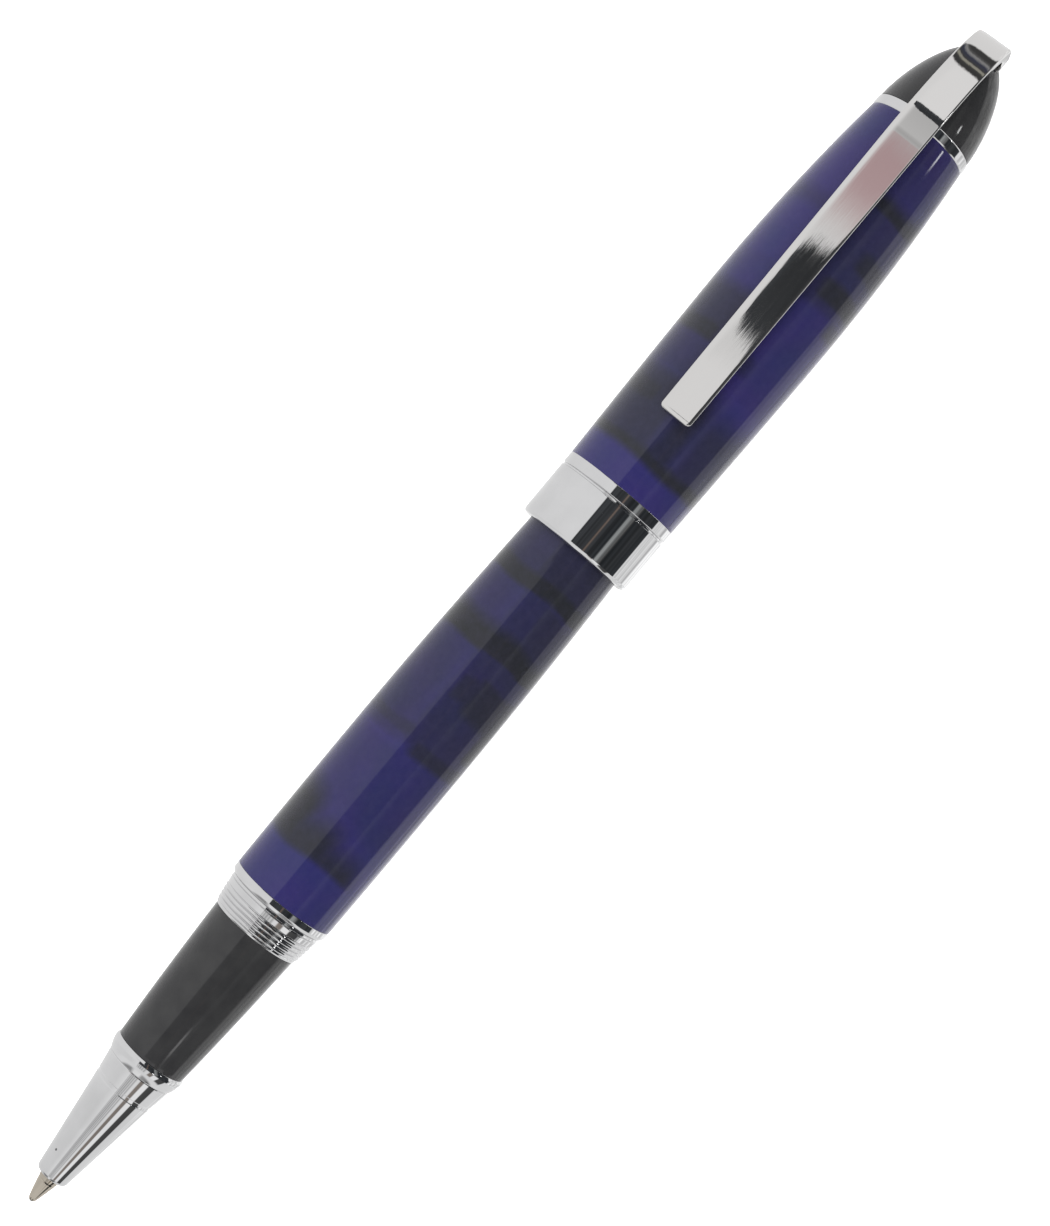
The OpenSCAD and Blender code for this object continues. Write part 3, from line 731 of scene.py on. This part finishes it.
def spring():
    """Helix that stretches between the refill and the tail plug."""
    first, last = span("refill_rear_plug")[1], span("tail_plug")[0]
    wire, coil, turns, points_a_turn, crowding = 0.22, 2.3, 5, 48, 0.09
    start, end = first + wire, last - wire

    def pitch_share(t):
        """Share of the length at a share of the turns: the first and last turns climb slowly."""
        return t - crowding * math.sin(2 * math.pi * t)

    path = []
    for t in steps(0, 1, points_a_turn * turns):
        a = 2 * math.pi * turns * t
        path.append((start + (end - start) * pitch_share(t), coil * math.cos(a), coil * math.sin(a)))
    piece = tube_along("refill_spring_coil", path, wire, 14)
    piece.data.materials.append(wire_steel)
    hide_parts("refill_spring")
    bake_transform(piece)
    return piece


# ---------------------------------------------------------------- the cap

CAP_BELLY_AT, CAP_FRONT_POWER, CAP_TOP_POWER = 23.7, 1.4, 2.1


def cap_radius(x):
    """Outer radius of the cap's tube at a station."""
    first, last = span("cap_tube")
    belly = radius("cap_tube")
    front = radius("cap_band")
    top = radius("top_ring") - 0.02
    belly_x = first + CAP_BELLY_AT
    if x < belly_x:
        return belly - (belly - front) * ((belly_x - x) / CAP_BELLY_AT) ** CAP_FRONT_POWER
    return belly - (belly - top) * ((x - belly_x) / (last - belly_x)) ** CAP_TOP_POWER


def cap_band():
    """Wide band with a rounded lip and a shallow groove at its upper edge, and its sleeve."""
    first, last = span("cap_band")
    r = radius("cap_band")
    trim = span("cap_trim_ring")[0]
    bore = radius("cap_liner") - SLEEVE_WALL
    sleeve = bore + SLEEVE_WALL
    outline = [(first, bore, 0.12), (first, r - 0.42, 0.12)]
    outline += [(first + 0.1, r - 0.14, 0.14), (first + 0.42, r, 0.2)]
    outline += [(trim - 0.26, r, 0.04), (trim - 0.2, r - 0.08, 0.03), (trim - 0.05, r - 0.1, 0.02)]
    outline += [(trim, r - 0.12), (trim, sleeve), (last, sleeve), (last, bore)]
    piece = lathe("cap_band_shell", braced(soften(outline, 0.04)))
    return finish_piece(piece, chrome, "cap", "cap_band")


def trim_ring():
    """Narrow ring between the band and the cap's tube."""
    first, last = span("cap_trim_ring")
    r = radius("cap_trim_ring")
    bore = radius("cap_liner")
    outline = [(first, bore), (first, r - 0.14, 0.04), (first + 0.14, r, 0.1), (last - 0.03, r, 0.02)]
    outline += [(last, r - 0.02, 0.01), (last, bore)]
    piece = lathe("cap_trim_band", braced(soften(outline, 0.03)))
    return finish_piece(piece, chrome, "cap", "cap_trim_ring")


def cap_shell():
    """Marbled tube of the cap, with a ledge where its bore narrows."""
    first, last = span("cap_tube")
    bore = radius("cap_liner")
    top_bore = radius("top_bush")
    ledge = span("tail_plug")[1] + 5.5
    outline = [(first, bore), (first, cap_radius(first) - 0.02, 0.03)]
    outline += [(x, cap_radius(x), 0) for x in steps(first + 0.1, last - 0.08, 150)]
    outline += [(last, cap_radius(last) - 0.03, 0.02), (last, top_bore), (ledge, top_bore), (ledge, bore)]
    piece = lathe("cap_shell", soften(outline, 0.03))
    paint_patches(piece, CAP_PATCHES)
    return finish_piece(piece, resin, "cap", "cap_tube")


def top_ring():
    """Chrome ring under the finial."""
    first, last = span("top_ring")
    r = radius("top_ring")
    outline = [(first, STUD_BORE), (first, r - 0.08, 0.04), (first + 0.14, r, 0.1)]
    outline += [(last - 0.16, r - 0.01, 0.12), (last, r - 0.14, 0.05), (last, STUD_BORE)]
    piece = lathe("top_ring_band", braced(soften(outline, 0.03)))
    return finish_piece(piece, chrome, "cap", "top_ring")


def stud():
    """Steel stud with a thread along it, which holds the finial."""
    first, last = span("finial_stud")
    crest, pitch, depth, end_cut = radius("finial_stud"), 0.7, 0.3, 0.35

    def thread(station, angle, r):
        if r < crest - 0.01:
            return 0.0
        return -depth * thread_wave(station / pitch + angle / (2 * math.pi))

    outline = [(first, 0), (first, crest - end_cut)]
    outline += [(x, crest) for x in steps(first + 0.3, last - 0.3, 150)]
    outline += [(last, crest - end_cut), (last, 0)]
    piece = lathe("finial_stud_screw", outline, 48, thread)
    return finish_piece(piece, steel, "cap", "finial_stud")


FINIAL_POWER, SLOT_GAP = 1.6, 0.2


def finial_radius(t, r):
    """Radius at a share of the finial's length."""
    return r * math.sqrt(max(0.0, 1 - t ** FINIAL_POWER))


def finial():
    """Black dome with the slot that the clip's head drops into, cut out of a turned body."""
    first, last = span("finial_dome")
    length = last - first
    stud_end, stud_r = span("finial_stud")[1], radius("finial_stud")
    r = radius("finial_dome")
    outline = [(stud_end, 0), (stud_end, stud_r), (first, stud_r), (first, r - 0.05), (first + 0.04, r)]
    outline += [
        (first + length * math.sin(a), finial_radius(math.sin(a), r)) for a in steps(0.08, math.pi / 2, 56)
    ]
    outline[-1] = (last, 0)
    piece = lathe("finial_dome_black", outline)
    half = CLIP_HEAD / 2 + SLOT_GAP
    floor_z = (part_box("clip")[0].z - AXIS_Z) / MM - 0.3
    head_x = span("clip")[1]
    sides = [(0, 1, 3, 2), (4, 6, 7, 5), (0, 4, 5, 1), (2, 3, 7, 6), (0, 2, 6, 4), (1, 5, 7, 3)]
    # the slot that is open to the end, then the pocket for the clip's tang: first and last station, and top
    cutters = [(head_x - 3.0, head_x + 2, r + 1), (head_x - 4.6, head_x - 1.5, floor_z + 1.6)]
    for number, (near, far, top) in enumerate(cutters):
        corners = [place(x, y, z) for x in (near, far) for y in (-half, half) for z in (floor_z, top)]
        cutter = mesh_object(f"cutter_{number}", corners, sides)
        cut = piece.modifiers.new("cut", "BOOLEAN")
        cut.operation = "DIFFERENCE"
        cut.solver = "EXACT"
        cut.object = cutter
        shape = bpy.data.meshes.new_from_object(piece.evaluated_get(bpy.context.evaluated_depsgraph_get()))
        piece.modifiers.remove(cut)
        piece.data = shape
        bpy.data.objects.remove(cutter)
    piece.data.set_sharp_from_angle(angle=math.radians(SHARP_ANGLE))
    return finish_piece(piece, black, "cap", "finial_dome")


# Widths at the free end, the ridge and the head, thicknesses, and the radius of the free end's corners.
CLIP_FREE, CLIP_RIDGE, CLIP_HEAD = 3.8, 4.1, 3.95
CLIP_THICK, HEAD_THICK, CLIP_CORNER = 0.95, 1.5, 0.55
# Length of the hump, height where it ends, rise of the arm, and fall of the outer face across the clip.
HUMP, SHOULDER, ARM_RISE = 15.1, 0.6, 0.9
CLIP_TWIST = 0.038
# The tang under the head: thickness, rounding of its corner, and lengths of its outer and inner faces.
TANG_THICK, TANG_ROUND, TANG_OUTER, TANG_INNER = 1.1, 0.45, 3.95, 2.87
# The pip under the free end: distance from the end, radius, height of its middle, depth and height of its shape.
PIP_AT, PIP_R, PIP_SEAT, PIP_UNDER, PIP_TOP, PIP_HEIGHT = 1.8, 0.9, 0.13, 0.08, 0.33, 0.41


def crown(share):
    """How far the clip's outer face falls at a share of its half width."""
    return 0.11 * share ** 4 if share > 0 else 0.015 * share ** 12


def clip_section(outer, inner, half, edge):
    """A closed ring of points: a rounded bar section with a slightly crowned outer face."""
    out = Vector((outer[0], 0, outer[1]))
    under = Vector((inner[0], 0, inner[1]))
    up = (out - under).normalized()
    thick = (out - under).length
    edge = min(edge, thick * 0.42, half * 0.45)
    low_edge = edge * 0.6
    flat = half - edge

    def face(y):
        """Height of the outer face at a distance from the middle."""
        return thick - crown(y / half) - CLIP_TWIST * y

    points = [(y, face(y)) for y in steps(-flat, flat, 24)]
    for a in steps(0.3, math.pi / 2, 5):
        points.append((flat + edge * math.sin(a), face(flat) - edge + edge * math.cos(a)))
    for a in steps(0, math.pi / 2, 4):
        points.append((half - low_edge + low_edge * math.cos(a), low_edge - low_edge * math.sin(a)))
    points += [(y, 0) for y in steps(half - low_edge - 0.1, -half + low_edge + 0.1, 6)]
    for a in steps(math.pi / 2, 0, 4):
        points.append((-half + low_edge - low_edge * math.cos(a), low_edge - low_edge * math.sin(a)))
    for a in steps(math.pi / 2, 0.3, 5):
        points.append((-flat - edge * math.sin(a), face(-flat) - edge + edge * math.cos(a)))
    return [place(under.x + up.x * h, y, under.z + up.z * h) for y, h in points]


def clip():
    """Sprung clip: a straight arm that rises a little, a hump over the finial, and a head hooked under it."""
    free_x, head_x = span("clip")
    low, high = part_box("clip")
    ridge_top = (high.z - AXIS_Z) / MM
    drop = (AXIS_Z - low.z) / MM
    ridge_x = head_x - HUMP
    free_top = ridge_top - ARM_RISE
    stations = []
    for a in steps(0.06, math.pi / 2, 12):
        x = free_x + CLIP_CORNER * (1 - math.cos(a))
        fall = (1 - math.sin(a)) ** 2
        half = CLIP_FREE / 2 - CLIP_CORNER * (1 - math.sin(a))
        stations.append(((x, free_top - 0.3 * fall), (x, free_top - CLIP_THICK + 0.2 * fall), half))
    arm_from = stations[-1][0][0]
    for t in steps(0, 1, 60)[1:]:
        x = arm_from + (ridge_x - arm_from) * t
        top = free_top + ARM_RISE * (x - free_x) / (ridge_x - free_x)
        half = (CLIP_FREE + (CLIP_RIDGE - CLIP_FREE) * t) / 2
        stations.append(((x, top), (x, top - CLIP_THICK), half))
    for a in steps(0, math.pi / 2, 48)[1:]:
        t = a / (math.pi / 2)
        over = (ridge_x + HUMP * math.sin(a), SHOULDER + (ridge_top - SHOULDER) * math.cos(a))
        under = (ridge_x + (HUMP - HEAD_THICK) * math.sin(a),
                 SHOULDER + (ridge_top - CLIP_THICK - SHOULDER) * math.cos(a))
        stations.append((over, under, (CLIP_RIDGE + (CLIP_HEAD - CLIP_RIDGE) * t) / 2))
    tang_top = -drop + TANG_THICK
    for t in steps(0, 1, 6)[1:]:
        z = SHOULDER + (-drop + TANG_ROUND - SHOULDER) * t
        inner_z = max(tang_top, SHOULDER + (tang_top - SHOULDER) * t)
        stations.append(((head_x, z), (head_x - HEAD_THICK, inner_z), CLIP_HEAD / 2))
    for a in steps(0, math.pi / 2, 6)[1:]:
        over = (head_x - TANG_ROUND * (1 - math.cos(a)), -drop + TANG_ROUND - TANG_ROUND * math.sin(a))
        stations.append((over, (head_x - HEAD_THICK - 0.02 * a, tang_top), CLIP_HEAD / 2))
    for t in steps(0, 1, 5)[1:]:
        under = (head_x - HEAD_THICK - 0.03 - TANG_INNER * t, tang_top)
        stations.append(((head_x - TANG_ROUND - TANG_OUTER * t, -drop), under, CLIP_HEAD / 2))
    verts, faces = [], []
    for over, under, half in stations:
        verts += clip_section(over, under, half, min(0.2, half * 0.3))
    ring = len(verts) // len(stations)
    for i in range(len(stations) - 1):
        for k in range(ring):
            n = (k + 1) % ring
            faces.append((i * ring + k, (i + 1) * ring + k, (i + 1) * ring + n, i * ring + n))
    faces.append(tuple(range(ring)))
    faces.append(tuple((len(stations) - 1) * ring + k for k in range(ring - 1, -1, -1)))
    pip = place(free_x + PIP_AT, 0, free_top - CLIP_THICK - PIP_SEAT)
    first = len(verts)
    rows, sides = 8, 24
    verts.append(pip + Vector((0, 0, -PIP_UNDER)) * MM)
    for j in range(1, rows + 1):
        a = math.pi / 2 * j / rows
        for k in range(sides):
            b = 2 * math.pi * k / sides
            reach, height = math.sin(a) * PIP_R, PIP_TOP - PIP_HEIGHT * math.cos(a)
            verts.append(pip + Vector((math.cos(b) * reach, math.sin(b) * reach, height)) * MM)
    for k in range(sides):
        n = (k + 1) % sides
        faces.append((first, first + 1 + n, first + 1 + k))
        for j in range(rows - 1):
            a, b = first + 1 + j * sides, first + 1 + (j + 1) * sides
            faces.append((a + k, a + n, b + n, b + k))
    faces.append(tuple(first + 1 + (rows - 1) * sides + k for k in range(sides)))
    piece = mesh_object("pocket_clip_spring", verts, faces, 50)
    piece.data.validate()
    return finish_piece(piece, clip_chrome, "clip", "clip")


for build in (
    writing_ball, writing_point, nose_cone, grip, ribbed_ring, threaded_connector, barrel, collar, bush,
    tail_cap, spring, cap_band, trim_ring, cap_shell, top_ring, stud, finial, clip,
):
    build()


# ---------------------------------------------------------------- floor, light and camera

# The camera's lean from straight above and turn of its picture, its distance in metres, its lens and sensor in
# millimetres, and the point of the axis that it looks at, as a station and a shift across in millimetres.
LEAN = math.radians(5.8)
TURN = math.radians(50.15)
REACH = 0.267
LENS, SENSOR = 76.35, 36
LOOK_AT, LOOK_ASIDE = 78.9, 0.34
NEAREST, FURTHEST = 0.01, 20
toward = Vector((0, -math.sin(LEAN), math.cos(LEAN)))
across = Vector((0, math.cos(LEAN), math.sin(LEAN)))


def camera():
    """Looks down on the pen from a little to its -Y side, with the pen running up to the right."""
    right = Vector((math.cos(TURN), 0, 0)) - across * math.sin(TURN)
    up = Vector((math.sin(TURN), 0, 0)) + across * math.cos(TURN)
    data = bpy.data.cameras.new("camera")
    data.lens = LENS
    data.sensor_width = SENSOR
    data.clip_start, data.clip_end = NEAREST, FURTHEST
    cam = bpy.data.objects.new("camera", data)
    bpy.context.scene.collection.objects.link(cam)
    spot = place(LOOK_AT, 0, 0) + toward * REACH - across * LOOK_ASIDE * MM
    cam.matrix_world = Matrix.Translation(spot) @ Matrix((right, up, toward)).transposed().to_4x4()
    bpy.context.scene.camera = cam


def floor():
    """A wide pale table top."""
    half_side, cuts = 1.5, 8
    lines = steps(-half_side, half_side, cuts)
    verts = [(x, y, 0) for x in lines for y in lines]
    rows = [i * len(lines) for i in range(cuts)]
    faces = [(a, a + cuts + 1, a + cuts + 2, a + 1) for row in rows for a in range(row, row + cuts)]
    table = mesh_object("table_top", verts, faces)
    m = Nodes("table_paper")
    grain = m.noise(900, 3)
    m.feed("Base Color", m.mix(grain, (0.94, 0.94, 0.94), (0.96, 0.96, 0.96)))
    m.feed("Roughness", m.remap(grain, 0, 1, 0.7, 0.9))
    m.set(Specular_IOR_Level=0.2)
    table.data.materials.append(m.material)
    table.visible_glossy = False


# The studio is a pattern of directions. One measure is how far a direction points along the pen, from -1 at the
# writing point to 1 at the clip's head. The other is its turn round the pen in degrees, 0 towards the first
# camera and positive towards -Y. Stops are (measure, grey level or colour).
BROWN, GREY, NIGHT, DUSK = (0.17, 0.13, 0.11), (0.27, 0.28, 0.28), (0.030, 0.034, 0.038), (0.045, 0.048, 0.052)
YELLOWISH, BLUISH = (0.34, 0.33, 0.28), (0.05, 0.055, 0.09)
# Where the dark side starts, in degrees, along the pen. A ramp holds it as a share of DARK_RANGE, from DARK_LOW.
DARK_LOW, DARK_RANGE, DARK_BLUR = -30, 40, 0.8
DARK_START = [
    (-1, -13.5), (0.085, -13.5), (0.089, -23), (0.126, -23), (0.130, -13.5), (0.150, 4), (0.41, 4),
    (0.425, -29), (0.465, -29), (0.48, 0), (1, 0),
]
# The light side near the top, along the pen.
LIGHT_SIDE = [
    (-1, 0.95), (0.070, 0.95), (0.078, 0.86), (0.10, 0.86), (0.137, 0.86), (0.146, (0.7, 0.60, 0.60)),
    (0.155, (0.58, 0.42, 0.43)), (0.175, (0.55, 0.39, 0.40)), (0.186, 0.60), (0.20, 0.50),
    (0.24, 0.66), (0.41, 0.60), (0.48, 0.98), (1, 0.98),
]
# The dark side, the end of the room in front of the pen, and the part of that end beside the axis, round the pen.
DARK_SIDE = [
    (-30, DUSK), (11.5, DUSK), (13, BROWN), (14.5, BROWN), (16, DUSK), (37, NIGHT), (39.5, GREY), (43, GREY),
    (51, (0.12,) * 3), (53, NIGHT), (70, DUSK), (92.5, NIGHT), (94.5, 0.93), (180, 0.93),
]
FRONT_END = [
    (-180, 0.93), (-40, 0.86), (-15, 0.98), (-13, 0.5), (-11, 0.92), (-8, 0.4), (-5, 0.84), (-2, 0.38), (2, 0.85),
    (5, 0.45), (9, 0.92), (13, 0.5), (18, 0.98), (26, 0.98), (29, (0.3, 0.26, 0.23)), (40, (0.28, 0.25, 0.23)),
    (43, 1.1), (59, 1.1), (62, 0.09), (85, 0.07), (88, 0.93), (180, 0.93),
]
FRONT_MIDDLE = [
    (-180, 0.93), (-100, 0.8), (-75, 0.32), (-30, 0.36), (-14, 1.0), (14, 1.05), (25, 0.45), (50, 0.30),
    (58, 0.10), (74, 0.10), (84, 0.85), (180, 0.93),
]
# Stripes low behind the clip's head, along the pen.
BARS = [
    (0.85, 0.05), (0.898, 0.06), (0.902, YELLOWISH), (0.915, YELLOWISH), (0.919, 0.07),
    (0.95, BLUISH), (0.955, 0.3), (0.965, 0.3), (0.97, 0.06), (1, 0.06),
]
# Small lamps as (measure along the pen, its half width, turn, its half width in degrees, brightness).
LAMPS = [(0.43, 0.06, 62, 2.6, 16), (-0.325, 0.014, 38, 4, 3.5)]


def shades(stops, reach):
    """Stops for a ramp from ones at numbers between -reach and reach. A number is a grey level."""
    return [
        ((at + reach) / (2 * reach), (v,) * 3 if isinstance(v, (int, float)) else v) for at, v in stops
    ]


def studio():
    """A pale room with a dark side from above the pen round to -Y, as chrome needs to read as chrome."""
    world = bpy.data.worlds.new("studio")
    bpy.context.scene.world = world
    world.use_nodes = True
    world.node_tree.nodes.clear()
    t = Tree(world.node_tree)
    number, mix, smooth = t.math, t.mix, t.smooth
    way = t.add("ShaderNodeTexCoord").outputs["Generated"]

    def along(axis):
        node = t.add("ShaderNodeVectorMath", operation="DOT_PRODUCT")
        t.link(way, node, 0)
        node.inputs[1].default_value = axis
        return node.outputs["Value"]

    def off(measure, middle):
        return number("ABSOLUTE", number("SUBTRACT", measure, middle))

    lengthwise = along((1, 0, 0))
    ahead = along(toward)
    turn = number("MULTIPLY", number("ARCTAN2", along(-across), ahead), 180 / math.pi)
    turn_share = number("ADD", number("MULTIPLY", turn, 1 / 360), 0.5)
    length_share = number("ADD", number("MULTIPLY", lengthwise, 0.5), 0.5)

    start = t.ramp(length_share, shades([(at, (deg - DARK_LOW) / DARK_RANGE) for at, deg in DARK_START], 1))
    start = number("ADD", number("MULTIPLY", start, DARK_RANGE), DARK_LOW)
    on_dark_side = smooth(turn, number("SUBTRACT", start, DARK_BLUR), number("ADD", start, DARK_BLUR))

    light_side = t.ramp(length_share, shades(LIGHT_SIDE, 1))
    light_side = mix(smooth(off(turn, -15), 15, 6), (0.95, 0.95, 0.95), light_side)
    light_side = mix(smooth(turn, -55, -16), (0.93, 0.93, 0.93), light_side)

    blot = t.add("ShaderNodeTexNoise")
    t.put(blot, (("Scale", 9), ("Detail", 4), ("Vector", way)))
    blots = t.ramp(blot.outputs["Fac"], [(0.35, (0.4,) * 3), (0.68, (1.9,) * 3)])
    dark_side = mix(0.55, t.ramp(turn_share, shades(DARK_SIDE, 180)), blots, "MULTIPLY")

    front = t.ramp(turn_share, shades(FRONT_END, 180))
    front = mix(smooth(lengthwise, -0.62, -0.70), front, (0.95, 0.95, 0.95))
    front = mix(smooth(lengthwise, -0.76, -0.82), front, t.ramp(turn_share, shades(FRONT_MIDDLE, 180)))

    room = mix(on_dark_side, light_side, dark_side)
    room = mix(smooth(lengthwise, -0.33, -0.40), room, front)
    for at, wide, degrees, high, level in LAMPS:
        near = smooth(off(lengthwise, at), wide, wide * 0.6)
        near_turn = smooth(off(turn, degrees), high, high * 0.5)
        room = mix(number("MULTIPLY", near, near_turn), room, (level,) * 3)
    horizon = number("MULTIPLY", smooth(lengthwise, 0.85, 0.87), smooth(ahead, 0.0, 0.05))
    room = mix(horizon, room, t.ramp(length_share, shades(BARS, 1)))
    seen = mix(t.add("ShaderNodeLightPath").outputs["Is Camera Ray"], room, (1.0, 1.0, 1.0))
    background = t.add("ShaderNodeBackground")
    t.link(seen, background, "Color")
    t.link(background.outputs[0], t.add("ShaderNodeOutputWorld"), "Surface")


def overhead():
    """A large soft light over the table that isn't mirrored in the chrome."""
    light = bpy.data.lights.new("overhead", "AREA")
    light.shape = "DISK"
    light.size = 3.0
    light.energy = 80
    lamp = bpy.data.objects.new("overhead", light)
    bpy.context.scene.collection.objects.link(lamp)
    lamp.location = (0, 0, 1.0)
    lamp.visible_glossy = False
    lamp.visible_camera = False


camera()
floor()
studio()
overhead()
bpy.context.scene.view_settings.view_transform = "Standard"
